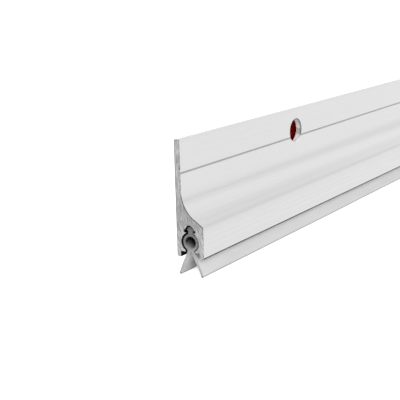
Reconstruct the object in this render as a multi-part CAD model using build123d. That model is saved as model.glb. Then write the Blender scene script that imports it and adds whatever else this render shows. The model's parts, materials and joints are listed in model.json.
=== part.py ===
from build123d import *
import math
import os

os.makedirs("parts", exist_ok=True)

# Surface-fixed door bottom seal: an extruded carrier with a soft insert held in the channel along its
# lower edge. Double-sided tape with its release liner lies along the back, behind the screw holes.
# All sizes are in millimetres.
# The bar runs along X. The face of the door is the plane y = 0, and the bar stands out from it towards -Y.
# The origin is on the face of the door, midway along the bar, at the height of the screw holes.

# Bar and screw holes
bar_length = 914.0
hole_end_distance = 80.0
hole_pitch_limit = 260.0
hole_diameter = 9.4
hole_chamfer = 0.15
hole_drop = 8.9

# Carrier section, measured out from its back face and up from the bottom of its legs
carrier_height = 40.0
plate_thickness = 2.3
plate_edge_radius = 0.3
housing_depth = 10.8
shoulder_height = 11.3
shoulder_radius = 1.2
cove_radius = 11.0
cove_angle = 58.0
drill_line_drop = 11.3
drill_line_width = 0.7
drill_line_depth = 0.4

# Channel and legs
bore_radius = 3.3
bore_height = 5.5
mouth_width = 3.5
lip_underside_height = 2.1
leg_thickness = 1.7
leg_outer_radius = 0.8
leg_inner_radius = 0.35
barb_slot_width = 2.6
barb_slot_height = 8.9
barb_cavity_width = 4.3
barb_cavity_side = 0.6
barb_cavity_roof_angle = 40.0
barb_cavity_radius = 0.3
barb_cavity_apex_radius = 1.5

# Insert
tube_clearance = 0.35
tube_wall = 0.85
insert_shift = 0.25
stem_width = 1.7
barb_clearance = 0.3
barb_base_clearance = 0.8
barb_head_radius = 0.2
barb_head_apex_radius = 1.2
fin_split_drop = 0.1
fin_root_clearance = 0.35
fin_reach_below_legs = 6.2
fin_spread = 8.8
fin_tip_thickness = 1.0
fin_flare_angle = 29.0
fin_bow = 0.18

# Tape and release liner
tape_width = 15.0
tape_thickness = 0.8
tape_end_inset = 3.0
liner_thickness = 0.12

# Places that follow from the sizes above
carrier_back_y = -(liner_thickness + tape_thickness)
leg_bottom_z = hole_drop - carrier_height
channel_depth = housing_depth / 2
insert_depth = channel_depth + insert_shift
tube_radius = bore_radius - tube_clearance
hole_span = bar_length - 2 * hole_end_distance
hole_gaps = max(1, math.ceil(hole_span / hole_pitch_limit))
hole_pitch = hole_span / hole_gaps

# Section plane at the +X end: its x runs out from the carrier's back face and its y runs up from the legs
section_plane = Plane(
    origin=(bar_length / 2, carrier_back_y, leg_bottom_z),
    x_dir=(0, -1, 0),
    z_dir=(-1, 0, 0),
)


def carrier_outline():
    """Plate, cove, sloping shoulder and front face, closed across the bottom of the legs."""
    slope_out = math.sin(math.radians(cove_angle))
    slope_down = math.cos(math.radians(cove_angle))
    cove_foot_depth = plate_thickness + cove_radius * (1 - slope_down)
    cove_foot_height = shoulder_height + (housing_depth - cove_foot_depth) * slope_down / slope_out
    cove_top_height = cove_foot_height + cove_radius * slope_out
    half_turn = math.radians(cove_angle / 2)
    cove_middle = (
        plate_thickness + cove_radius * (1 - math.cos(half_turn)),
        cove_top_height - cove_radius * math.sin(half_turn),
    )
    with BuildSketch() as outline:
        with BuildLine():
            Polyline(
                (plate_thickness, cove_top_height),
                (plate_thickness, carrier_height),
                (0, carrier_height),
                (0, 0),
                (housing_depth, 0),
                (housing_depth, shoulder_height),
                (cove_foot_depth, cove_foot_height),
            )
            ThreePointArc(
                (cove_foot_depth, cove_foot_height),
                cove_middle,
                (plate_thickness, cove_top_height),
            )
        make_face()
        top_corners = outline.vertices().group_by(Axis.Y)[-1]
        fillet(top_corners, plate_edge_radius)
        shoulder = outline.vertices().sort_by_distance((housing_depth, shoulder_height))[0]
        fillet(shoulder, shoulder_radius)
    return outline.sketch


def barb_cavity_outline():
    """House-shaped cavity over a narrower slot, centred on x = 0."""
    half_width = barb_cavity_width / 2
    eaves_height = barb_slot_height + barb_cavity_side
    apex_height = eaves_height + half_width / math.tan(math.radians(barb_cavity_roof_angle))
    with BuildSketch() as cavity:
        with BuildLine():
            Polyline(
                (-half_width, barb_slot_height),
                (half_width, barb_slot_height),
                (half_width, eaves_height),
                (0, apex_height),
                (-half_width, eaves_height),
                (-half_width, barb_slot_height),
            )
        make_face()
        corners = cavity.vertices().sort_by(Axis.Y)
        fillet(corners[-1], barb_cavity_apex_radius)
        fillet(corners[:-1], barb_cavity_radius)
        with Locations((0, bore_height)):
            Rectangle(
                barb_slot_width,
                barb_slot_height - bore_height + barb_cavity_radius,
                align=(Align.CENTER, Align.MIN),
            )
    return cavity.sketch


def carrier_section():
    """The outline less the channel, the pocket between the legs and the drill line."""
    pocket_width = housing_depth - 2 * leg_thickness
    drill_line_height = carrier_height - drill_line_drop
    with BuildSketch() as section:
        add(carrier_outline())
        with Locations((channel_depth, bore_height)):
            Circle(bore_radius, mode=Mode.SUBTRACT)
        with Locations((channel_depth, 0)):
            Rectangle(mouth_width, bore_height, align=(Align.CENTER, Align.MIN), mode=Mode.SUBTRACT)
            Rectangle(
                pocket_width,
                lip_underside_height,
                align=(Align.CENTER, Align.MIN),
                mode=Mode.SUBTRACT,
            )
            add(barb_cavity_outline(), mode=Mode.SUBTRACT)
        with BuildLine():
            Polyline(
                (plate_thickness, drill_line_height + drill_line_width / 2),
                (plate_thickness - drill_line_depth, drill_line_height),
                (plate_thickness, drill_line_height - drill_line_width / 2),
                (plate_thickness, drill_line_height + drill_line_width / 2),
            )
        make_face(mode=Mode.SUBTRACT)
        leg_corners = section.vertices().group_by(Axis.Y)[0].sort_by(Axis.X)
        fillet([leg_corners[0], leg_corners[-1]], leg_outer_radius)
        leg_corners = section.vertices().group_by(Axis.Y)[0].sort_by(Axis.X)
        fillet(leg_corners[1:-1], leg_inner_radius)
    return section.sketch


def build_carrier():
    """Extrusion with a line of screw holes, each with a small chamfer at the front."""
    bar = extrude(section_plane * carrier_section(), amount=bar_length)
    front_y = carrier_back_y - plate_thickness
    hole_radius = hole_diameter / 2
    for index in range(hole_gaps + 1):
        x = index * hole_pitch - hole_span / 2
        hole_plane = Plane(origin=(x, front_y, 0), x_dir=(1, 0, 0), z_dir=(0, 1, 0))
        drill = hole_plane * Cylinder(
            hole_radius, plate_thickness, align=(Align.CENTER, Align.CENTER, Align.MIN)
        )
        countersink = hole_plane * Cone(
            hole_radius + hole_chamfer,
            hole_radius,
            hole_chamfer,
            align=(Align.CENTER, Align.CENTER, Align.MIN),
        )
        bar = bar - drill - countersink
    return bar


def fin_outline(side):
    """One tapered lip that curves outwards from the web to its rounded tip. side is -1 or 1."""
    flare_out = math.sin(math.radians(fin_flare_angle))
    flare_down = math.cos(math.radians(fin_flare_angle))
    half_tip = fin_tip_thickness / 2
    tip_depth = fin_spread / 2
    tip_height = half_tip - fin_reach_below_legs
    root_half_width = mouth_width / 2 - fin_root_clearance
    inner_tip = (side * (tip_depth - half_tip * flare_down), tip_height - half_tip * flare_out)
    end_of_tip = (side * (tip_depth + half_tip * flare_out), tip_height - half_tip * flare_down)
    outer_tip = (side * (tip_depth + half_tip * flare_down), tip_height + half_tip * flare_out)
    apex = (0, bore_height - tube_radius - fin_split_drop)
    outer_root = (side * root_half_width, lip_underside_height)
    with BuildSketch() as fin:
        with BuildLine():
            SagittaArc(apex, inner_tip, -side * fin_bow)
            ThreePointArc(inner_tip, end_of_tip, outer_tip)
            SagittaArc(outer_tip, outer_root, side * fin_bow)
            Polyline(outer_root, (side * root_half_width, bore_height), (0, bore_height), apex)
        make_face()
    return fin.sketch


def barb_head_outline():
    """Arrowhead with the roof angle of its cavity, a clearance under the roof and higher over the slot."""
    roof_slope = 1 / math.tan(math.radians(barb_cavity_roof_angle))
    head_base_height = barb_slot_height + barb_base_clearance
    cavity_apex_height = barb_slot_height + barb_cavity_side + barb_cavity_width / 2 * roof_slope
    roof_gap = barb_clearance / math.sin(math.radians(barb_cavity_roof_angle))
    head_apex_height = cavity_apex_height - roof_gap
    half_head = (head_apex_height - head_base_height) / roof_slope
    with BuildSketch() as head:
        with BuildLine():
            Polyline(
                (-half_head, head_base_height),
                (half_head, head_base_height),
                (0, head_apex_height),
                (-half_head, head_base_height),
            )
        make_face()
        corners = head.vertices().sort_by(Axis.Y)
        fillet(corners[-1], barb_head_apex_radius)
        fillet(corners[:-1], barb_head_radius)
    return head.sketch


def insert_section():
    """Barbed stem, hollow tube and the pair of lips under it, centred on x = 0."""
    stem_height = barb_slot_height + barb_base_clearance + barb_head_radius - bore_height
    with BuildSketch() as section:
        with Locations((0, bore_height)):
            Circle(tube_radius)
            Rectangle(stem_width, stem_height, align=(Align.CENTER, Align.MIN))
        add(barb_head_outline())
        for side in (-1, 1):
            add(fin_outline(side))
        with Locations((0, bore_height)):
            Circle(tube_radius - tube_wall, mode=Mode.SUBTRACT)
    return section.sketch


def build_insert():
    """The insert's section run along the whole bar."""
    placed = section_plane * Pos(insert_depth, 0, 0) * insert_section()
    return extrude(placed, amount=bar_length)


def build_strip(thickness, back_y):
    """Flat strip along the bar behind the screw holes. back_y is the face nearest the door."""
    length = bar_length - 2 * tape_end_inset
    strip = Box(length, thickness, tape_width, align=(Align.CENTER, Align.MAX, Align.CENTER))
    return Pos(0, back_y, 0) * strip


pieces = {
    "carrier": build_carrier(),
    "seal_insert": build_insert(),
    "adhesive_tape": build_strip(tape_thickness, -liner_thickness),
    "release_liner": build_strip(liner_thickness, 0),
}

for name, piece in pieces.items():
    export_step(piece, f"parts/{name}.step")
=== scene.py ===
import json
import math
import bpy
import bmesh
import numpy as np
from mathutils import Matrix, Vector


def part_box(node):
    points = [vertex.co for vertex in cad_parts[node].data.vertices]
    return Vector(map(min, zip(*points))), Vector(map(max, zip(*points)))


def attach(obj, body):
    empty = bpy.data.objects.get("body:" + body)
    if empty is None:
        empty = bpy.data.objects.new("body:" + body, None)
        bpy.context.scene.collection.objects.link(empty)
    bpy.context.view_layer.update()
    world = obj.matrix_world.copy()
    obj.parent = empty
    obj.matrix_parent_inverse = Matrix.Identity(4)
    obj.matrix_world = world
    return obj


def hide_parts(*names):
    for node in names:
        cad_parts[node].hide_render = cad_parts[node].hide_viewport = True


# Door bottom seal: a sawn aluminium bar with a soft insert along its foot and tape on its back

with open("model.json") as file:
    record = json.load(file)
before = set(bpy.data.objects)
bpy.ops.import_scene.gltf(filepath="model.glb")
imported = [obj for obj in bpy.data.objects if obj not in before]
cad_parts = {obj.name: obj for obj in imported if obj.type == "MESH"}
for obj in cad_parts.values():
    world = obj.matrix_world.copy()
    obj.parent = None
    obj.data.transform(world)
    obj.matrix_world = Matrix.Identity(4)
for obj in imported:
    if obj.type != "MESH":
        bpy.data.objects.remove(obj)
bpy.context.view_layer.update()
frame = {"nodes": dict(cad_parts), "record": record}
print("frame loaded:", sorted(frame["nodes"]))

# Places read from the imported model, in metres
mm = 0.001
carrierLow, carrierHigh = (np.array(c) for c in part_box("carrier"))
tapeLow, tapeHigh = (np.array(c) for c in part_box("adhesive_tape"))
linerLow, linerHigh = (np.array(c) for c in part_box("release_liner"))
floorZ = float(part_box("seal_insert")[0][2])
cutEndX = float(carrierLow[0])
farEndX = float(carrierHigh[0])
backY = float(carrierHigh[1])
legZ = float(carrierLow[2])
sectionDepth = float(carrierHigh[1] - carrierLow[1])
sectionHeight = float(carrierHigh[2] - carrierLow[2])
cutCorner = Vector((cutEndX, backY, legZ))
mounts = {m["name"]: m for m in frame["record"]["mounts"]}


# Small tools for profiles and meshes

meshing = {
    "samePoint": 0.002 * mm,  # points of a profile nearer than this become one
    "sameVertex": 0.0005 * mm,
    "endReach": 10 * mm,  # an open rim this near an end of the bar is that end's
    "sharpAngle": 28.0,
    "support": 0.12 * mm,  # from an arc's end to the point that keeps the face beside it flat
    "smallSupport": 0.05 * mm,
    "arcStep": 3.0,  # degrees, on the carrier's outside
    "circleStep": 4.0,
    "smallArcStep": 8.0,
}


def roundedPath(points, radii, support=meshing["support"], step=meshing["arcStep"]):
    # each corner gives way to an arc tangent to both its sides; a support point on each side, just
    # past the arc, keeps the flat faces flat under smooth shading
    points = np.array(points, float)
    radii = np.array(radii, float)
    inward = points[:-2] - points[1:-1]
    onward = points[2:] - points[1:-1]
    inLen = np.linalg.norm(inward, axis=1)
    onLen = np.linalg.norm(onward, axis=1)
    inward /= inLen[:, None]
    onward /= onLen[:, None]
    halfAngle = np.arccos(np.clip((inward * onward).sum(1), -1, 1)) / 2
    reach = radii / np.tan(halfAngle)
    pieces = [points[:1]]
    for i in range(len(radii)):
        corner = points[i + 1]
        if radii[i] == 0:
            pieces.append(corner[None])
            continue
        start = corner + inward[i] * reach[i]
        end = corner + onward[i] * reach[i]
        middle = inward[i] + onward[i]
        centre = corner + middle / np.linalg.norm(middle) * radii[i] / math.sin(halfAngle[i])
        a0 = math.atan2(*(start - centre)[::-1])
        turn = math.atan2(*(end - centre)[::-1]) - a0
        turn = (turn + math.pi) % (2 * math.pi) - math.pi
        count = max(3, int(abs(math.degrees(turn)) / step) + 1)
        a = a0 + turn * np.linspace(0, 1, count)
        arc = centre + radii[i] * np.stack([np.cos(a), np.sin(a)], 1)
        parts = [arc]
        if reach[i] + support < inLen[i] * 0.5:
            parts.insert(0, (corner + inward[i] * (reach[i] + support))[None])
        if reach[i] + support < onLen[i] * 0.5:
            parts.append((corner + onward[i] * (reach[i] + support))[None])
        pieces += parts
    pieces.append(points[-1:])
    return np.concatenate(pieces)


def smallRounded(points, radii, step=meshing["smallArcStep"]):
    # the same for the small arcs, with coarser steps and nearer support points
    return roundedPath(points, radii, meshing["smallSupport"], step)


def arcPath(centre, radius, startAngle, endAngle, step=meshing["circleStep"]):
    # points on a circle, from one angle in degrees to the other
    count = max(3, int(abs(endAngle - startAngle) / step) + 1)
    a = np.radians(np.linspace(startAngle, endAngle, count))
    return np.array(centre) + radius * np.stack([np.cos(a), np.sin(a)], 1)


def closedLoop(*paths):
    # joins paths end to end and drops points that coincide
    loop = np.concatenate(paths)
    gap = np.linalg.norm(loop - np.roll(loop, 1, axis=0), axis=1)
    return loop[gap > meshing["samePoint"]]


def loopNormals(loop):
    # outward direction at each point, taken from its two neighbours, for a loop of either sense
    along = np.roll(loop, -1, axis=0) - np.roll(loop, 1, axis=0)
    along /= np.linalg.norm(along, axis=1)[:, None]
    x, y = loop[:, 0], loop[:, 1]
    area = (x * np.roll(y, -1) - y * np.roll(x, -1)).sum()
    return np.stack([along[:, 1], -along[:, 0]], 1) * (1 if area > 0 else -1)


def stripMiddles(loop):
    # middle of the strip that starts at each point, and the direction it faces, about 2 long
    normal = loopNormals(loop)
    return (loop + np.roll(loop, -1, axis=0)) / 2, normal + np.roll(normal, -1, axis=0)


def densified(loop, longest):
    # splits each straight run into equal steps no longer than the given length
    nextPoint = np.roll(loop, -1, axis=0)
    count = np.maximum(1, np.ceil(np.linalg.norm(nextPoint - loop, axis=1) / longest)).astype(int)
    start = np.repeat(loop, count, axis=0)
    reach = np.repeat(nextPoint - loop, count, axis=0)
    step = np.arange(count.sum()) - np.repeat(np.cumsum(count) - count, count)
    return start + reach * (step / np.repeat(count, count))[:, None]


def sectionToFrame(section, x):
    # (depth from the back face, height over the legs) to the shared frame at station x
    out = np.empty(section.shape[:-1] + (3,))
    out[..., 0] = x
    out[..., 1] = backY - section[..., 0]
    out[..., 2] = legZ + section[..., 1]
    return out


def gridQuads(index):
    # quads between neighbouring rows of a grid of vertex numbers whose rows close on themselves
    a, b = index[:-1], index[1:]
    return np.stack([a, b, np.roll(b, -1, 1), np.roll(a, -1, 1)], -1).reshape(-1, 4)


def makeObject(name, verts, faces, faceKinds, materials, capKind=0):
    # a tidied mesh of the given vertices and faces, each face with its place in the materials
    mesh = bpy.data.meshes.new(name)
    mesh.from_pydata(verts.reshape(-1, 3).tolist(), [], faces)
    for material in materials:
        mesh.materials.append(material)
    mesh.polygons.foreach_set("material_index", np.array(faceKinds, np.int32))
    mesh.update()
    obj = bpy.data.objects.new(name, mesh)
    bpy.context.scene.collection.objects.link(obj)
    tidyMesh(obj, capKind)
    return obj


def tidyMesh(obj, capKind):
    # merged, its open ends filled flat, turned outwards, smooth within the sharp angle and hard past it
    bm = bmesh.new()
    bm.from_mesh(obj.data)
    bmesh.ops.remove_doubles(bm, verts=bm.verts, dist=meshing["sameVertex"])
    for x in (cutEndX, farEndX):
        opened = [e for e in bm.edges if e.is_boundary and abs(e.verts[0].co.x - x) < meshing["endReach"]]
        if opened:
            caps = bmesh.ops.triangle_fill(bm, use_beauty=True, use_dissolve=False, edges=opened)
            for face in caps["geom"]:
                if isinstance(face, bmesh.types.BMFace):
                    face.material_index = capKind
    bmesh.ops.recalc_face_normals(bm, faces=bm.faces)
    limit = math.radians(meshing["sharpAngle"])
    for edge in bm.edges:
        edge.smooth = len(edge.link_faces) == 2 and edge.calc_face_angle(0) < limit
    for face in bm.faces:
        face.smooth = True
    loose = sum(len(edge.link_faces) != 2 for edge in bm.edges)
    print(obj.name, len(bm.faces), "faces, open edges:", loose)
    bm.to_mesh(obj.data)
    bm.free()


def sweepLoops(name, loops, zones, stations, pulls, stripKinds, materials, bend=None):
    # a section of closed loops carried along X, station by station: point = loop - normal * pull.
    # pulls holds, for each loop, how far each station's points are drawn into the material.
    # Each strip takes the material that its loop's zones give for the point where it starts, unless
    # stripKinds gives one for that ring of strips, for all of it or point by point; -1 leaves it.
    # bend moves the grid of points. The first loop is the outside, and the last material covers
    # the flat ends.
    verts, faces, kinds, first = [], [], [], 0
    count = len(stations)
    across = np.array(stations)[:, None]
    for number, (loop, zone, pull) in enumerate(zip(loops, zones, pulls)):
        normals = loopNormals(loop) * (1 if number == 0 else -1)
        grid = sectionToFrame(loop[None] - normals[None] * pull[..., None], across)
        if bend:
            grid = bend(grid)
        faces += gridQuads(first + np.arange(count * len(loop)).reshape(count, -1)).tolist()
        given = np.stack([np.broadcast_to(kind, len(loop)) for kind in stripKinds])
        kinds += np.where(given < 0, zone[None], given).reshape(-1).tolist()
        verts.append(grid.reshape(-1, 3))
        first += count * len(loop)
    return makeObject(name, np.concatenate(verts), faces, kinds, materials, len(materials) - 1)


def endPulls(count, edge):
    # rows of inward pulls, one for each station: the bevel at both ends and nothing between
    pull = np.zeros((count, len(edge)))
    pull[0] = pull[-1] = edge
    return pull


# Node material helpers

middleBand = (0.3, 0.7)  # where nearly all values of a noise lie


def grey(level):
    # one brightness as an opaque colour
    return (level, level, level, 1)


def addNode(tree, kind, **settings):
    # a new node with its settings
    node = tree.nodes.new(kind)
    for key, value in settings.items():
        setattr(node, key, value)
    return node


def feed(tree, socket, value):
    # a plain number or colour is written on the socket, and a node's output is linked to it
    if isinstance(value, (tuple, float, int)):
        socket.default_value = value
    else:
        tree.links.new(value, socket)


def emptyMaterial(name):
    # a material with only its output node
    material = bpy.data.materials.new(name)
    material.use_nodes = True
    tree = material.node_tree
    tree.nodes.clear()
    return material, tree, addNode(tree, "ShaderNodeOutputMaterial")


def newMaterial(name):
    # a material with one Principled shader
    material, tree, out = emptyMaterial(name)
    shader = addNode(tree, "ShaderNodeBsdfPrincipled")
    tree.links.new(shader.outputs["BSDF"], out.inputs["Surface"])
    return material, tree, shader


def mathStep(tree, operation, *values):
    # one step of arithmetic on numbers or outputs
    node = addNode(tree, "ShaderNodeMath", operation=operation)
    for socket, value in zip(node.inputs, values):
        feed(tree, socket, value)
    return node.outputs[0]


def vectorStep(tree, operation, *values):
    # one step of vector arithmetic; a length comes out as a number
    node = addNode(tree, "ShaderNodeVectorMath", operation=operation)
    for socket, value in zip(node.inputs, values):
        feed(tree, socket, value)
    return node.outputs["Value" if operation == "LENGTH" else "Vector"]


def scaled(tree, colour, factor):
    # a colour times one number
    node = addNode(tree, "ShaderNodeVectorMath", operation="SCALE")
    feed(tree, node.inputs[0], colour)
    feed(tree, node.inputs["Scale"], factor)
    return node.outputs[0]


def remap(tree, value, low, high, fromLow=0.0, fromHigh=1.0):
    # low + (high - low) * (value - fromLow) / (fromHigh - fromLow), held between low and high
    node = addNode(tree, "ShaderNodeMapRange")
    feed(tree, node.inputs["Value"], value)
    feed(tree, node.inputs["From Min"], fromLow)
    feed(tree, node.inputs["From Max"], fromHigh)
    feed(tree, node.inputs["To Min"], low)
    feed(tree, node.inputs["To Max"], high)
    return node.outputs["Result"]


def mixColour(tree, factor, colourA, colourB, mode="MIX"):
    # colourA at factor 0, and at factor 1 colourB or, for MULTIPLY, the product of the two
    node = addNode(tree, "ShaderNodeMix", data_type="RGBA", blend_type=mode)
    for socket, value in ((0, factor), (6, colourA), (7, colourB)):
        feed(tree, node.inputs[socket], value)
    return node.outputs[2]


def mixNumber(tree, factor, numberA, numberB):
    # numberA at factor 0 and numberB at factor 1
    node = addNode(tree, "ShaderNodeMix", data_type="FLOAT")
    for socket, value in ((0, factor), (2, numberA), (3, numberB)):
        feed(tree, node.inputs[socket], value)
    return node.outputs[0]


def objectAxis(tree, axis, space="Object"):
    # one of the object coordinates in metres, or for Generated one part of the world's direction
    coords = addNode(tree, "ShaderNodeTexCoord")
    split = addNode(tree, "ShaderNodeSeparateXYZ")
    tree.links.new(coords.outputs[space], split.inputs[0])
    return split.outputs[axis]


def objectPattern(tree, scale, shift=(0, 0, 0)):
    # object coordinates scaled so that one unit is one feature of the pattern
    coords = addNode(tree, "ShaderNodeTexCoord")
    mapping = addNode(tree, "ShaderNodeMapping")
    mapping.inputs["Scale"].default_value = scale
    mapping.inputs["Location"].default_value = shift
    tree.links.new(coords.outputs["Object"], mapping.inputs["Vector"])
    return mapping.outputs["Vector"]


def noise(tree, vector, detail=3.0, rough=0.5):
    # Blender's own noise, with one feature for each unit of the vector
    node = addNode(tree, "ShaderNodeTexNoise")
    node.inputs["Scale"].default_value = 1.0
    node.inputs["Detail"].default_value = detail
    node.inputs["Roughness"].default_value = rough
    tree.links.new(vector, node.inputs["Vector"])
    return node.outputs["Fac"]


def addBump(tree, shader, height, strength, distance):
    # fine relief in the shading alone
    node = addNode(tree, "ShaderNodeBump")
    node.inputs["Strength"].default_value = strength
    node.inputs["Distance"].default_value = distance
    tree.links.new(height, node.inputs["Height"])
    tree.links.new(node.outputs["Normal"], shader.inputs["Normal"])


def greyRamp(tree, value, interpolation, stops):
    # brightness that runs through (place from 0 to 1, level) pairs
    ramp = addNode(tree, "ShaderNodeValToRGB")
    ramp.color_ramp.interpolation = interpolation
    stopList = ramp.color_ramp.elements
    for i, (place, level) in enumerate(stops):
        stop = stopList[i] if i < 2 else stopList.new(place)
        stop.position = place
        stop.color = grey(level)
    tree.links.new(value, ramp.inputs[0])
    return ramp.outputs[0]


def toneByHeight(tree, tones):
    # brightness at each height over the legs in millimetres, eased between the given ones
    foot, head = tones[0][0], tones[-1][0]
    stops = [((rise - foot) / (head - foot), level) for rise, level in tones]
    rise = remap(tree, objectAxis(tree, "Z"), 0, 1, legZ + foot * mm, legZ + head * mm)
    return greyRamp(tree, rise, "EASE", stops)


# Carrier: the aluminium extrusion

# its materials, in the order of their slots
skinKind, lineKind, channelKind, wallKind, underKind, rimKind, cutKind = range(7)

carrier = {
    "plate": 2.3 * mm,
    "edge": 0.3 * mm,
    "shoulder": 11.3 * mm,
    "shoulderRadius": 1.2 * mm,
    "coveRadius": 11.0 * mm,
    "coveAngle": 58.0,
    "lineDrop": 11.3 * mm,
    "lineWidth": 0.7 * mm,
    "lineDepth": 0.4 * mm,
    "lineRadius": 0.05 * mm,
    "bore": 3.3 * mm,
    "boreHeight": 5.5 * mm,
    "mouth": 3.5 * mm,
    "lip": 2.1 * mm,
    "leg": 1.7 * mm,
    "legOuter": 0.8 * mm,
    "legInner": 0.35 * mm,
    "slot": 2.6 * mm,
    "slotHeight": 8.9 * mm,
    "cavity": 4.3 * mm,
    "cavitySide": 0.6 * mm,
    "roofAngle": 40.0,
    "cavityRadius": 0.3 * mm,
    "apexRadius": 1.5 * mm,
    "channelTop": 11.8 * mm,  # a height over the whole channel, where its shade ends
    "grain": 0.35 * mm,  # longest step round the section
    # depth of the saw's edge: outside, at the drill line and the lips, in the channel, and what the
    # front of the bore has on top; then the shares of it between which it strays
    "burr": 0.18 * mm,
    "innerBurr": 0.06 * mm,
    "channelBurr": 0.16 * mm,
    "frontBurr": 0.12 * mm,
    "burrRange": (0.6, 1.4),
    "innerRange": (0.5, 1.5),
    # bites down the front of the plate: their depth, the share of points that have one, and how
    # much of it the next point has
    "tear": 0.4 * mm,
    "biteShare": 0.2,
    "biteTrail": 0.6,
    "seed": 11,
}

satin = {
    "dark": (0.72, 0.721, 0.719, 1),
    "light": (0.753, 0.754, 0.751, 1),
    # features in a metre along the bar, out from the door and up
    "lines": (0.5, 2200, 2200),
    "drift": (9, 60, 60),
    "streaks": (1.5, 1900, 1900),
    "streakShift": (0, 3, 7),
    "streakSwing": (-0.5, 0.5),
    "lineRoughness": (0.18, 0.24),
    "driftRoughness": (-0.02, 0.02),
    "bump": (0.05, 0.02 * mm),
    # height over the legs in millimetres, and the skin's tone there, with faint bands of painted
    # reflection and shade across the cove and the shoulder
    "tones": [
        (0.0, 0.955), (8.8, 0.95), (10.6, 0.905), (11.5, 0.875), (12.2, 0.925), (12.9, 0.917),
        (13.6, 0.945), (15.0, 1.0), (16.6, 1.0), (18.0, 0.98), (20.8, 0.967), (22.4, 0.98), (40.0, 0.98),
    ],
    # the same for the depth of its streaks
    "streakDepths": [(0.0, 0.06), (9.0, 0.06), (14.0, 0.01)],
}

saw = {
    "depth": 60 * mm,  # the blade's centre, out from the back and over the legs
    "height": 26 * mm,
    "across": 3200,  # arcs in a metre across them, and features in a metre of height
    "along": 260,
    "dark": (0.17, 0.17, 0.172, 1),
    "light": (0.82, 0.82, 0.818, 1),
    "arcBand": (0.33, 0.67),
    "blotch": (0.43, 0.43, 0.43, 1),
    "blotches": (700, 700, 700),
    "blotchShare": 0.3,
    "blotchBand": (0.4, 0.75),
    "roughness": (0.38, 0.55),
    "bump": (0.5, 0.05 * mm),
    "tones": [(0.0, 1.0), (9.0, 1.0), (12.0, 0.79), (17.0, 0.79), (22.0, 0.94), (40.0, 0.94)],
    # painted shade along the back edge of the cut: its width and its tone
    "backEdgeShade": 0.55 * mm,  # width of the darker line down the back, and its tone
    "backEdgeShadeTone": 0.42,
}

rim = {
    "specks": (1400, 1400, 1400),
    "speckTone": (0.3, 1.7),
    "speckBand": (0.35, 0.65),
    "roughness": (0.4, 0.55),
    # painted shade and highlight on the burr: height over the legs in millimetres and its tone there
    "tones": [(0.0, 0.12), (1.5, 0.4), (9.5, 0.3), (11.5, 0.09), (20.0, 0.09), (23.0, 0.38), (39.0, 0.38)],
}

speckled = {
    "specks": (3000, 3000, 3000),
    "swing": 0.05,
    # dark and light level, and roughness; these dark tones are painted shade in the drill line, in the
    # channel and under the legs
    "drillLineShade": (0.57, 0.63, 0.45),
    "channelShade": (0.03, 0.05, 0.6),
    "legShade": (0.02, 0.04, 0.5),
}

screwHole = {
    "chamfer": 0.15 * mm,
    "turns": 96,
    "outset": 1.0 * mm,  # how far the cutter stands out of the plate
    "dark": (0.92, 0.91, 0.91, 1),
    "light": (0.99, 0.98, 0.98, 1),
    "rings": (120, 9000, 120),
    "roughness": (0.35, 0.5),
    "bump": (0.2, 0.01 * mm),
    # painted shade across the middle of the wall: height over the legs in millimetres and the tone there
    "tones": [(27.5, 1.0), (28.3, 1.0), (29.3, 0.6), (30.8, 0.6), (31.8, 1.0), (36.0, 1.0)],
    # shades that end behind the plate's face: from where, to where, and the level; they come in
    # between two heights from the hole's centre
    "shades": [(0.345 * mm, 1.15 * mm, 0.5), (0.16 * mm, 0.26 * mm, 0.10)],
    "shadeRise": (-4.0 * mm, -1.5 * mm),
}


def satinAluminium():
    # anodised extrusion: even silver with faint die lines, bands of painted reflection and shade by
    # height, streaks along the lower bar, whose tone is tone * (1 + streak * depth), and a drift of
    # roughness
    material, tree, shader = newMaterial("satinAluminium")
    lines = noise(tree, objectPattern(tree, satin["lines"]), detail=4)
    drift = noise(tree, objectPattern(tree, satin["drift"]), detail=2)
    tone = mixColour(tree, remap(tree, lines, 0, 1, *middleBand), satin["dark"], satin["light"])
    # painted reflection and shade: bands by height across the cove and the shoulder
    tone = mixColour(tree, 1.0, tone, toneByHeight(tree, satin["tones"]), "MULTIPLY")
    streaks = noise(tree, objectPattern(tree, satin["streaks"], satin["streakShift"]), detail=4, rough=0.7)
    streaks = remap(tree, streaks, *satin["streakSwing"], *middleBand)
    swing = mathStep(tree, "MULTIPLY_ADD", streaks, toneByHeight(tree, satin["streakDepths"]), 1.0)
    tree.links.new(scaled(tree, tone, swing), shader.inputs["Base Color"])
    driftPart = remap(tree, drift, *satin["driftRoughness"], *middleBand)
    linePart = remap(tree, lines, *satin["lineRoughness"], *middleBand)
    tree.links.new(mathStep(tree, "ADD", driftPart, linePart), shader.inputs["Roughness"])
    shader.inputs["Metallic"].default_value = 1.0
    addBump(tree, shader, lines, *satin["bump"])
    return material


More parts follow.
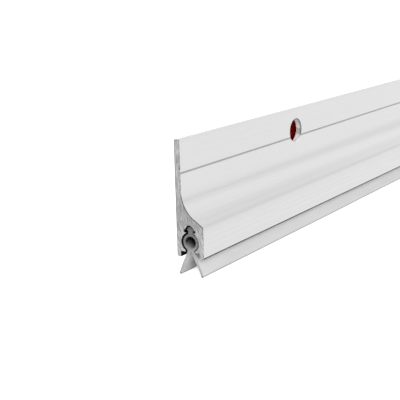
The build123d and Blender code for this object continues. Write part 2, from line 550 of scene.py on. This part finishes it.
def sawnAluminium():
    # the bare cut: arcs left by a saw whose centre stands off above the front, with darker blotches;
    # the arcs' noise is read at (distance from that centre, height)
    material, tree, shader = newMaterial("sawnAluminium")
    place = addNode(tree, "ShaderNodeTexCoord").outputs["Object"]
    offset = vectorStep(tree, "SUBTRACT", place, (0, backY - saw["depth"], legZ + saw["height"]))
    reach = vectorStep(tree, "LENGTH", vectorStep(tree, "MULTIPLY", offset, (0, 1, 1)))
    polar = addNode(tree, "ShaderNodeCombineXYZ")
    feed(tree, polar.inputs["X"], mathStep(tree, "MULTIPLY", reach, saw["across"]))
    feed(tree, polar.inputs["Y"], mathStep(tree, "MULTIPLY", objectAxis(tree, "Z"), saw["along"]))
    arcs = noise(tree, polar.outputs[0], detail=5, rough=0.75)
    blotches = noise(tree, objectPattern(tree, saw["blotches"]))
    tone = mixColour(tree, remap(tree, arcs, 0, 1, *saw["arcBand"]), saw["dark"], saw["light"])
    share = remap(tree, blotches, 0, saw["blotchShare"], *saw["blotchBand"])
    tone = mixColour(tree, share, tone, saw["blotch"])
    tone = scaled(tree, tone, toneByHeight(tree, saw["tones"]))
    # painted shade along the back edge of the cut
    back = remap(tree, objectAxis(tree, "Y"), 1.0, saw["backEdgeShadeTone"], backY - saw["backEdgeShade"], backY)
    tree.links.new(scaled(tree, tone, back), shader.inputs["Base Color"])
    tree.links.new(remap(tree, arcs, *saw["roughness"]), shader.inputs["Roughness"])
    shader.inputs["Metallic"].default_value = 1.0
    addBump(tree, shader, arcs, *saw["bump"])
    return material


def sawnRimShadeAndHighlight():
    # the burr round the cut, its tone painted shade and highlight: painted shade along the cove and the
    # slope, a painted highlight paler down the front face, and mottled down the plate
    material, tree, shader = newMaterial("sawnRimShadeAndHighlight")
    specks = noise(tree, objectPattern(tree, rim["specks"]))
    swing = remap(tree, specks, *rim["speckTone"], *rim["speckBand"])
    tree.links.new(scaled(tree, toneByHeight(tree, rim["tones"]), swing), shader.inputs["Base Color"])
    tree.links.new(remap(tree, specks, *rim["roughness"]), shader.inputs["Roughness"])
    shader.inputs["Metallic"].default_value = 1.0
    return material


def speckledMetal(name):
    # plain metal with a fine speckle, its dark tone painted shade, for the small faces that only need a
    # tone
    dark, light, rough = speckled[name]
    material, tree, shader = newMaterial(name)
    specks = noise(tree, objectPattern(tree, speckled["specks"]), detail=2)
    tone = mixColour(tree, remap(tree, specks, 0, 1, *middleBand), grey(dark), grey(light))
    tree.links.new(tone, shader.inputs["Base Color"])
    roughness = remap(tree, specks, rough - speckled["swing"], rough + speckled["swing"])
    tree.links.new(roughness, shader.inputs["Roughness"])
    shader.inputs["Metallic"].default_value = 1.0
    return material


def drilledWall():
    # bright scraped wall of a screw hole, with fine rings round its axis, two painted shades that run
    # round it just behind the front, and a painted shade across the middle of its height
    material, tree, shader = newMaterial("drilledWall")
    rings = noise(tree, objectPattern(tree, screwHole["rings"]), detail=2)
    tone = mixColour(tree, rings, screwHole["dark"], screwHole["light"])
    frontY = backY - carrier["plate"]
    high = remap(tree, objectAxis(tree, "Z"), 0, 1, *screwHole["shadeRise"])
    for start, stop, level in screwHole["shades"]:
        ahead = remap(tree, objectAxis(tree, "Y"), 1, 0, frontY + start, frontY + stop)
        tone = mixColour(tree, mathStep(tree, "MULTIPLY", ahead, high), tone, grey(level))
    tone = scaled(tree, tone, toneByHeight(tree, screwHole["tones"]))
    tree.links.new(tone, shader.inputs["Base Color"])
    tree.links.new(remap(tree, rings, *screwHole["roughness"]), shader.inputs["Roughness"])
    addBump(tree, shader, rings, *screwHole["bump"])
    return material


def mirrored(half, apex):
    # half an outline, its apex on the middle line, and the other half in reverse
    return half + [apex] + [(-x, y) for x, y in reversed(half)]


def cavityPath(c, centre):
    # slot, base, eaves and apex of the barb's cavity, from the back side to the front side
    eaves = c["slotHeight"] + c["cavitySide"]
    apex = eaves + c["cavity"] / 2 / math.tan(math.radians(c["roofAngle"]))
    circleTop = c["boreHeight"] + math.sqrt(c["bore"] ** 2 - c["slot"] ** 2 / 4)
    half = [
        (-c["slot"] / 2, circleTop),
        (-c["slot"] / 2, c["slotHeight"]),
        (-c["cavity"] / 2, c["slotHeight"]),
        (-c["cavity"] / 2, eaves),
    ]
    points = [(x + centre, y) for x, y in mirrored(half, (0, apex))]
    r = c["cavityRadius"]
    return smallRounded(points, [0, r, r, c["apexRadius"], r, r, 0])


def carrierLoop(c):
    # the whole section as one loop: outside and legs, then up round the channel and back
    centre = sectionDepth / 2
    slope = math.tan(math.radians(c["coveAngle"]))
    line = sectionHeight - c["lineDrop"]
    lipTop = c["boreHeight"] - math.sqrt(c["bore"] ** 2 - c["mouth"] ** 2 / 4)
    outside = [
        (centre + c["mouth"] / 2, lipTop, 0),
        (centre + c["mouth"] / 2, c["lip"], 0),
        (sectionDepth - c["leg"], c["lip"], 0),
        (sectionDepth - c["leg"], 0, c["legInner"]),
        (sectionDepth, 0, c["legOuter"]),
        (sectionDepth, c["shoulder"], c["shoulderRadius"]),
        (c["plate"], c["shoulder"] + (sectionDepth - c["plate"]) / slope, c["coveRadius"]),
        (c["plate"], line - c["lineWidth"] / 2, 0),
        (c["plate"] - c["lineDepth"], line, c["lineRadius"]),
        (c["plate"], line + c["lineWidth"] / 2, 0),
        (c["plate"], sectionHeight, c["edge"]),
        (0, sectionHeight, c["edge"]),
        (0, 0, c["legOuter"]),
        (c["leg"], 0, c["legInner"]),
        (c["leg"], c["lip"], 0),
        (centre - c["mouth"] / 2, c["lip"], 0),
        (centre - c["mouth"] / 2, lipTop, 0),
    ]
    skin = roundedPath([p[:2] for p in outside], [p[2] for p in outside[1:-1]])
    low = math.degrees(math.asin(c["mouth"] / 2 / c["bore"]))
    high = math.degrees(math.asin(c["slot"] / 2 / c["bore"]))
    middle = (centre, c["boreHeight"])
    backArc = arcPath(middle, c["bore"], 270 - low, 90 + high)
    frontArc = arcPath(middle, c["bore"], 90 - high, -90 + low)
    return closedLoop(skin, backArc, cavityPath(c, centre), frontArc)


def carrierZones(c, loop):
    # which material each strip of the section takes: skin, or painted shade in the drill line, in the
    # channel and on the undersides of the legs
    middle, facing = stripMiddles(loop)
    line = sectionHeight - c["lineDrop"]
    slack = 0.01 * mm
    downward = -0.2
    channel = (middle[:, 0] > c["leg"] - slack) & (middle[:, 0] < sectionDepth - c["leg"] + slack)
    channel &= middle[:, 1] < c["channelTop"]
    under = (middle[:, 1] < c["legOuter"]) & (facing[:, 1] < downward)
    groove = (abs(middle[:, 1] - line) < c["lineWidth"]) & (middle[:, 0] < c["plate"] - slack)
    groove &= middle[:, 0] > c["plate"] / 2
    outer = np.where(under, underKind, np.where(groove, lineKind, skinKind))
    return np.where(channel, channelKind, outer)


def tornEdge(c, loop, zones):
    # depth of the saw's burr at each point of the section: uneven, deeper here and there down the
    # plate's front, slight in the channel and at the drill line, and a little more at the front of
    # the bore
    rng = np.random.default_rng(c["seed"])
    rough = rng.random(len(loop))
    rough = (rough + np.roll(rough, 1)) / 2
    bites = np.clip(rng.random(len(loop)) - (1 - c["biteShare"]), 0, None) / c["biteShare"]
    bites = np.maximum(bites, c["biteTrail"] * np.roll(bites, 1))
    slack = 0.02 * mm
    plateFront = (abs(loop[:, 0] - c["plate"]) < slack) & (loop[:, 1] < sectionHeight - 3 * c["edge"])
    before = np.roll(zones, 1)
    slight = (zones != skinKind) | (before != skinKind)
    outerEdge = c["burr"] * np.interp(rough, (0, 1), c["burrRange"]) + c["tear"] * bites * plateFront
    inChannel = (zones == channelKind) & (before == channelKind)
    inChannel &= loop[:, 1] > c["lip"] + c["channelBurr"]
    atFront = (loop[:, 0] > (sectionDepth + c["bore"]) / 2) & (loop[:, 1] < c["slotHeight"])
    broken = np.where(inChannel, c["channelBurr"] + c["frontBurr"] * atFront, c["innerBurr"])
    return np.where(slight, broken * np.interp(rough, (0, 1), c["innerRange"]), outerEdge)


def holeCutter(c, x):
    # turned tool, its profile carried round the hole's axis: a 45 degree mouth at the front, then
    # the straight drill out through the back
    radius = mounts["screw_holes_outer"]["dims"]["hole_r_mm"] * mm
    frontY = backY - c["plate"]
    outset, chamfer = screwHole["outset"], screwHole["chamfer"]
    profile = np.array([
        (0, frontY - outset),
        (radius + chamfer + outset, frontY - outset),
        (radius, frontY + chamfer),
        (radius, backY + outset),
        (0, backY + outset),
    ])
    a = np.linspace(0, 2 * math.pi, screwHole["turns"], endpoint=False)
    grid = np.empty((len(profile), len(a), 3))
    grid[..., 0] = x + profile[:, :1] * np.cos(a)
    grid[..., 1] = profile[:, 1:]
    grid[..., 2] = profile[:, :1] * np.sin(a)
    return grid.reshape(-1, 3), gridQuads(np.arange(grid.size // 3).reshape(len(profile), -1))


def makeCarrier():
    # the section swept from cut to cut, then drilled with the screw holes
    c = carrier
    materials = [
        satinAluminium(),
        speckledMetal("drillLineShade"),
        speckledMetal("channelShade"),
        drilledWall(),
        speckledMetal("legShade"),
        sawnRimShadeAndHighlight(),
        sawnAluminium(),
    ]
    loop = densified(carrierLoop(c), c["grain"])
    zones = carrierZones(c, loop)
    stations = [cutEndX, cutEndX + c["burr"], 0.0, farEndX - c["burr"], farEndX]
    pulls = endPulls(len(stations), tornEdge(c, loop, zones))
    # the bevel round the channel takes the channel's painted shade
    ring = np.where(zones == channelKind, channelKind, rimKind)
    bar = sweepLoops("carrierBar", [loop], [zones], stations, [pulls], [ring, -1, -1, ring], materials)
    verts, faces = [], []
    for name in ("screw_holes_outer", "screw_holes_inner"):
        mount = mounts[name]
        for side in (-1, 1):
            x = mount["pos_m"][0] + side * mount["dims"]["spacing_x_mm"] * mm / 2
            v, f = holeCutter(c, x)
            faces += (f + sum(len(p) for p in verts)).tolist()
            verts.append(v)
    cutter = makeObject("holeCutter", np.concatenate(verts), faces, [wallKind] * len(faces), materials)
    drill = bar.modifiers.new("drill", "BOOLEAN")
    drill.object = cutter
    drill.operation = "DIFFERENCE"
    drill.solver = "EXACT"
    drilled = bar.evaluated_get(bpy.context.evaluated_depsgraph_get())
    bar.data = bpy.data.meshes.new_from_object(drilled)
    bar.modifiers.clear()
    bpy.data.objects.remove(cutter)
    tidyMesh(bar, cutKind)
    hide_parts("carrier")
    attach(bar, "root")
    print("carrier drilled,", len(bar.data.polygons), "faces")


# Insert: the soft extrusion in the channel

# its materials, in the order of their slots
outerGrey, hollowGrey, facingLitGrey, cutGrey = range(4)

insert = {
    "tube": 2.95 * mm,
    "wall": 0.85 * mm,
    "boreHeight": carrier["boreHeight"],
    "boreStep": 6.0,
    "shift": 0.25 * mm,
    "stem": 1.7 * mm,
    "headGap": 0.3 * mm,
    "baseGap": 0.8 * mm,
    "headRadius": 0.2 * mm,
    "headApex": 1.2 * mm,
    "root": 1.4 * mm,
    "splitDrop": 0.1 * mm,
    "reach": 6.2 * mm,
    "spread": 8.8 * mm,
    "tip": 1.0 * mm,
    "flare": 29.0,
    "bow": 0.18 * mm,
    "sideSteps": 14,
    "tipSteps": 9,
    "bevel": 0.08 * mm,
    "stations": 90,
    # the lips' waver along the bar: its size, then radians in a metre, start and share of each wave
    "wave": 0.10 * mm,
    "waves": [(41, 0.6, 0.6), (97, 2.1, 0.4)],
}

rubber = {
    # colour low on the lips and up in the channel, painted light low down and painted shade up in the
    # channel, and the height over the legs where that is reached
    "softGrey": ((0.70, 0.69, 0.695, 1), (0.2, 0.195, 0.195, 1), 6.0 * mm),
    "softGreyLitWithin": ((0.77, 0.76, 0.765, 1), (0.2, 0.195, 0.195, 1), 6.0 * mm),
    "softGreyCut": ((0.47, 0.465, 0.47, 1), (0.18, 0.175, 0.175, 1), 5.5 * mm),
    "foot": 0.3 * mm,
    "mottle": (60, 500, 500),
    "mottleShare": 0.2,
    "mottleBand": (0.35, 0.7),
    "mottleTone": 0.75,
    "grain": (1500, 4000, 4000),
    "roughness": (0.5, 0.68),
    "bump": (0.15, 0.03 * mm),
    # height over the legs in millimetres, and the painted shade there: darker at the lips' tips and at the
    # barb's crown, with a little painted light just under the legs
    "shades": [
        (-6.2, 0.48), (-5.8, 0.57), (-5.3, 0.93), (-3.6, 0.93), (-0.8, 1.0), (1.0, 0.957), (9.6, 0.957),
        (10.3, 0.57), (11.0, 0.52),
    ],
}

hollow = {
    # painted shade deep in the hollow, painted light near its ends and along its floor
    "dark": (0.025, 0.023, 0.025, 1),
    "light": (0.47, 0.46, 0.465, 1),
    "mouth": 4.6 * mm,  # how far in from each end the light reaches
    "floor": 3.7 * mm,  # heights over the legs between which it fades
    "roof": 5.7 * mm,
}


def softGrey(name):
    # matt grey extrusion in painted light and shade: lighter in the thin lips, where light would come
    # through, and darker up in the channel, where shade falls; faintly mottled
    low, high, top = rubber[name]
    material, tree, shader = newMaterial(name)
    rise = remap(tree, objectAxis(tree, "Z"), 0, 1, legZ + rubber["foot"], legZ + top)
    plain = mixColour(tree, rise, low, high)
    deeper = mixColour(tree, rise, tuple(rubber["mottleTone"] * v for v in low[:3]) + (1,), high)
    mottle = noise(tree, objectPattern(tree, rubber["mottle"]))
    share = remap(tree, mottle, 0.0, rubber["mottleShare"], *rubber["mottleBand"])
    tone = scaled(tree, mixColour(tree, share, plain, deeper), toneByHeight(tree, rubber["shades"]))
    tree.links.new(tone, shader.inputs["Base Color"])
    grain = noise(tree, objectPattern(tree, rubber["grain"]))
    tree.links.new(remap(tree, grain, *rubber["roughness"]), shader.inputs["Roughness"])
    shader.inputs["Specular IOR Level"].default_value = 0.3
    addBump(tree, shader, grain, *rubber["bump"])
    return material


def hollowPaintedShade():
    # the tube's own hollow: painted shade deep inside, and painted light near its mouths and along its
    # floor
    material, tree, shader = newMaterial("hollowPaintedShade")
    away = mathStep(tree, "ABSOLUTE", objectAxis(tree, "X"))
    near = remap(tree, away, 0, 1, farEndX - hollow["mouth"], farEndX)
    low = remap(tree, objectAxis(tree, "Z"), 1, 0, legZ + hollow["floor"], legZ + hollow["roof"])
    tone = mixColour(tree, mathStep(tree, "MULTIPLY", near, low), hollow["dark"], hollow["light"])
    tree.links.new(tone, shader.inputs["Base Color"])
    shader.inputs["Roughness"].default_value = 0.6
    shader.inputs["Specular IOR Level"].default_value = 0.2
    return material


def lipSplit(c):
    # height at which the two lips part, just under the tube
    return c["boreHeight"] - c["tube"] - c["splitDrop"]


def finSide(c, side):
    # outer edge of a lip down to its tip, round the tip and back up the inner edge to the split
    flare = math.radians(c["flare"])
    out, down = math.sin(flare), math.cos(flare)
    half = c["tip"] / 2
    depth, height = c["spread"] / 2, half - c["reach"]
    outerRoot = np.array([c["root"], carrier["lip"]])
    outerTip = np.array([depth + half * down, height + half * out])
    innerTip = np.array([depth - half * down, height - half * out])
    split = np.array([0, lipSplit(c)])
    t = np.linspace(0, 1, c["sideSteps"])[:, None]

    def bowed(a, b):
        # straight line pushed sideways by a parabola
        along = (b - a) / np.linalg.norm(b - a)
        return a + (b - a) * t + np.array([along[1], -along[0]]) * 4 * c["bow"] * t * (1 - t)

    outer = bowed(outerTip, outerRoot)[::-1]
    inner = bowed(innerTip, split)
    a = np.radians(np.linspace(c["flare"], c["flare"] - 180, c["tipSteps"]))[1:-1]
    tip = np.array([depth, height]) + half * np.stack([np.cos(a), np.sin(a)], 1)
    path = np.concatenate([outer, tip, inner])
    path[:, 0] *= side
    return path


def insertLoops(c):
    # outline: barb head, stem, tube shoulders and the two lips; then the tube's bore
    centre = sectionDepth / 2 + c["shift"]
    roof = math.radians(carrier["roofAngle"])
    slope = 1 / math.tan(roof)
    base = carrier["slotHeight"] + c["baseGap"]
    cavityApex = carrier["slotHeight"] + carrier["cavitySide"] + carrier["cavity"] / 2 * slope
    apex = cavityApex - c["headGap"] / math.sin(roof)
    barb = (apex - base) / slope
    shoulder = c["boreHeight"] + math.sqrt(c["tube"] ** 2 - c["stem"] ** 2 / 4)
    points = mirrored([(c["stem"] / 2, shoulder), (c["stem"] / 2, base), (barb, base)], (0, apex))
    r = c["headRadius"]
    head = smallRounded(points, [0, r, c["headApex"], r, 0])
    high = math.degrees(math.asin(c["stem"] / 2 / c["tube"]))
    low = math.degrees(math.asin(c["root"] / c["tube"]))
    middle = (0, c["boreHeight"])
    backArc = arcPath(middle, c["tube"], 90 + high, 270 - low)
    frontArc = arcPath(middle, c["tube"], -90 + low, 90 - high)
    outline = closedLoop(head, backArc, finSide(c, -1), finSide(c, 1)[::-1], frontArc)
    bore = closedLoop(arcPath(middle, c["tube"] - c["wall"], 0, 360, c["boreStep"])[:-1])
    return outline + (centre, 0), bore + (centre, 0)


def lipZones(c, outline):
    # the sides of the lips that face each other take a lighter grey of their own, painted light between
    # the lips
    middle, facing = stripMiddles(outline)
    inward = facing[:, 0] * np.sign(middle[:, 0] - outline[:, 0].mean()) < 0
    return np.where(inward & (middle[:, 1] < lipSplit(c)), facingLitGrey, outerGrey)


def lipWave(grid):
    # the free lips waver a little along the bar, more towards their tips
    c = insert
    below = np.clip((legZ - grid[..., 2]) / c["reach"], 0, 1) ** 2
    wave = sum(share * np.sin(grid[..., 0] * rate + start) for rate, start, share in c["waves"])
    grid[..., 1] += c["wave"] * below * wave
    return grid


def makeInsert():
    # the two loops swept along the bar, with bevelled ends and wavering lips
    c = insert
    materials = [softGrey("softGrey"), hollowPaintedShade(), softGrey("softGreyLitWithin"), softGrey("softGreyCut")]
    stations = [cutEndX, *np.linspace(cutEndX + c["bevel"], farEndX - c["bevel"], c["stations"]), farEndX]
    loops = insertLoops(c)
    zones = [lipZones(c, loops[0]), np.full(len(loops[1]), hollowGrey)]
    pulls = [endPulls(len(stations), np.full(len(loop), c["bevel"])) for loop in loops]
    rings = [cutGrey] + [-1] * (len(stations) - 3) + [cutGrey]
    seal = sweepLoops("sealLips", loops, zones, stations, pulls, rings, materials, lipWave)
    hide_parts("seal_insert")
    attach(seal, "root")
    print("insert swept,", len(seal.data.polygons), "faces")


# Tape and release liner on the back

strips = {
    "tapeEdge": 0.12 * mm,
    "linerEdge": 0.02 * mm,
    "arcStep": 15.0,
    # the tape's colours and cloud, and how much of it shows on its faces and at its cut sides
    "tapeLight": (0.9, 0.88, 0.87, 1),
    "tapeDark": (0.8, 0.77, 0.76, 1),
    "tapeCloud": (150, 150, 150),
    "clearTape": (0.0, 0.002),
    "tapeSide": (0.45, 0.65),
    "filmDark": (0.15, 0.0004, 0.0003, 1),
    "filmLight": (0.185, 0.0006, 0.0005, 1),
    "filmCloud": (80, 300, 300),
    "filmRoughness": (0.25, 0.4),
    "filmBump": (0.2, 0.05 * mm),
}


def clearTape(name):
    # clear adhesive, seen through, and cloudier at its cut sides
    material, tree, shader = newMaterial(name)
    cloud = noise(tree, objectPattern(tree, strips["tapeCloud"]))
    tone = mixColour(tree, cloud, strips["tapeLight"], strips["tapeDark"])
    tree.links.new(tone, shader.inputs["Base Color"])
    tree.links.new(remap(tree, cloud, *strips[name]), shader.inputs["Alpha"])
    shader.inputs["Roughness"].default_value = 0.4
    shader.inputs["Specular IOR Level"].default_value = 0.0
    return material


def redLiner():
    # deep red film, slightly uneven where the soft tape lies behind it
    material, tree, shader = newMaterial("redLiner")
    cloud = noise(tree, objectPattern(tree, strips["filmCloud"]))
    tone = mixColour(tree, cloud, strips["filmDark"], strips["filmLight"])
    tree.links.new(tone, shader.inputs["Base Color"])
    tree.links.new(remap(tree, cloud, *strips["filmRoughness"]), shader.inputs["Roughness"])
    shader.inputs["Specular IOR Level"].default_value = 0.0
    addBump(tree, shader, cloud, *strips["filmBump"])
    return material


def makeStrip(name, low, high, edge, materials, node):
    # flat bar with softened long edges: a rounded rectangle carried along X, its first material on
    # the two faces and its second on the long sides; half the edge's radius bevels the ends
    near, far = backY - high[1], backY - low[1]
    foot, head = low[2] - legZ, high[2] - legZ
    corners = [(near, head), (near, foot), (far, foot), (far, head), (near, head), (near, foot)]
    outline = closedLoop(smallRounded(corners, [edge] * 4, strips["arcStep"])[1:-1])
    middle = stripMiddles(outline)[0]
    onSide = (middle[:, 1] < foot + edge) | (middle[:, 1] > head - edge)
    start, end = float(low[0]), float(high[0])
    stations = [start, start + edge, end - edge, end]
    pulls = endPulls(len(stations), np.full(len(outline), edge / 2))
    strip = sweepLoops(name, [outline], [onSide.astype(int)], stations, [pulls], [1, -1, 1], materials)
    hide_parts(node)
    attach(strip, "root")


def makeStrips():
    # the clear tape on the plate's back, and the red film over it
    clear = clearTape("clearTape")
    side = clearTape("tapeSide")
    film = redLiner()
    makeStrip(
        "tapeStrip", tapeLow, tapeHigh, strips["tapeEdge"], [clear, side, side],
        "adhesive_tape",
    )
    makeStrip(
        "linerStrip", linerLow, linerHigh, strips["linerEdge"], [film, film, film],
        "release_liner",
    )
    print("tape and liner laid")


# Studio: pale floor, soft lamps, white surroundings

studio = {
    "skySeen": 1.0,
    "floorSize": 12.0,
    "floorTone": 0.95,
    "floorSeen": 0.7,
    "floorMirrored": 1.08,
    "ambient": 0.6,
    "ceiling": 1.5,
    "horizon": [
        # height of a direction, from -1 at the foot to 1 overhead, and the brightness metal mirrors there
        (-1.0, 1.08),
        (-0.02, 1.06),
        (0.08, 1.0),
        (0.15, 0.905),
        (0.22, 0.95),
        (0.31, 1.06),
        (0.44, 1.04),
        (0.50, 1.0),
        (0.56, 0.99),
        (0.70, 1.04),
        (1.0, 1.1),
    ],
    "lamps": [
        # name, place from the cut end, aim from the cut end, size, watts
        ("key", (-1.1, -0.9, 0.8), (0.1, 0.0, 0.0), 1.0, 14.0),
        ("fill", (0.6, -1.3, 0.15), (0.1, 0.0, 0.0), 0.8, 4.8),
        ("rear", (0.3, 1.3, 1.0), (0.3, 0.0, 0.0), 1.2, 8.0),
    ],
}


def rayBrightness(tree, seen, inMetal, others):
    # one value for camera rays and rays through clear pieces, one for mirrored rays, one for the rest
    path = addNode(tree, "ShaderNodeLightPath").outputs
    through = mathStep(tree, "MAXIMUM", path["Is Camera Ray"], path["Is Transmission Ray"])
    return mixNumber(tree, through, mixNumber(tree, path["Is Glossy Ray"], others, inMetal), seen)


def makeWorld():
    # white to the camera, an even ambient light, and for metal a brightness that goes by height
    world = bpy.data.worlds.new("studioWhite")
    bpy.context.scene.world = world
    world.use_nodes = True
    tree = world.node_tree
    back = tree.nodes["Background"]
    back.inputs["Color"].default_value = grey(1.0)
    rise = remap(tree, objectAxis(tree, "Z", "Generated"), 0, 1, -1, 1)
    stops = [(height / 2 + 0.5, level / studio["ceiling"]) for height, level in studio["horizon"]]
    inMetal = remap(tree, greyRamp(tree, rise, "B_SPLINE", stops), 0, studio["ceiling"])
    strength = rayBrightness(tree, studio["skySeen"], inMetal, studio["ambient"])
    tree.links.new(strength, back.inputs["Strength"])


def makeFloor():
    # a square that the lips stand on: matt with a glow for the camera, and plain bright in metal
    material, tree, out = emptyMaterial("paleFloor")
    matt = addNode(tree, "ShaderNodeBsdfDiffuse")
    matt.inputs["Color"].default_value = grey(studio["floorTone"])
    glow = addNode(tree, "ShaderNodeEmission")
    tree.links.new(rayBrightness(tree, studio["floorSeen"], 0.0, 0.0), glow.inputs["Strength"])
    both = addNode(tree, "ShaderNodeAddShader")
    tree.links.new(matt.outputs[0], both.inputs[0])
    tree.links.new(glow.outputs[0], both.inputs[1])
    inMetal = addNode(tree, "ShaderNodeEmission")
    inMetal.inputs["Strength"].default_value = studio["floorMirrored"]
    either = addNode(tree, "ShaderNodeMixShader")
    path = addNode(tree, "ShaderNodeLightPath")
    tree.links.new(path.outputs["Is Glossy Ray"], either.inputs[0])
    tree.links.new(both.outputs[0], either.inputs[1])
    tree.links.new(inMetal.outputs[0], either.inputs[2])
    tree.links.new(either.outputs[0], out.inputs["Surface"])
    half = studio["floorSize"] / 2
    corners = [(-half, -half, floorZ), (half, -half, floorZ), (half, half, floorZ), (-half, half, floorZ)]
    mesh = bpy.data.meshes.new("floor")
    mesh.from_pydata(corners, [], [(0, 1, 2, 3)])
    mesh.materials.append(material)
    floor = bpy.data.objects.new("floor", mesh)
    bpy.context.scene.collection.objects.link(floor)


def makeLamps():
    # soft square lamps, which metal doesn't mirror
    for name, place, aim, size, watts in studio["lamps"]:
        data = bpy.data.lights.new(name, "AREA")
        data.shape = "SQUARE"
        data.size = size
        data.energy = watts
        lamp = bpy.data.objects.new(name, data)
        lamp.location = cutCorner + Vector(place)
        lamp.rotation_euler = (Vector(aim) - Vector(place)).to_track_quat("-Z", "Y").to_euler()
        lamp.visible_glossy = False
        bpy.context.scene.collection.objects.link(lamp)


# Camera, placed from the lower back corner of the cut end

shot = {
    "place": (-0.2321, -0.1703, 0.0896),
    "forward": (0.79932, 0.55204, -0.23736),
    "up": (0.21148, 0.1113, 0.97102),
    "lens": 80.0,
    "sensor": 36.0,
    "nearest": 0.01,
    "furthest": 50.0,
}


def makeCamera():
    # stands at its place, looks forward and keeps up squared to that
    data = bpy.data.cameras.new("shot")
    data.lens = shot["lens"]
    data.sensor_width = shot["sensor"]
    data.clip_start = shot["nearest"]
    data.clip_end = shot["furthest"]
    camera = bpy.data.objects.new("shot", data)
    back = -Vector(shot["forward"]).normalized()
    right = Vector(shot["up"]).cross(back).normalized()
    turn = Matrix((right, back.cross(right), back)).transposed().to_4x4()
    camera.matrix_world = Matrix.Translation(cutCorner + Vector(shot["place"])) @ turn
    bpy.context.scene.collection.objects.link(camera)
    bpy.context.scene.camera = camera


makeCamera()
makeWorld()
makeFloor()
makeLamps()
print("studio set")
makeCarrier()
makeInsert()
makeStrips()

bpy.context.scene.view_settings.view_transform = "Standard"
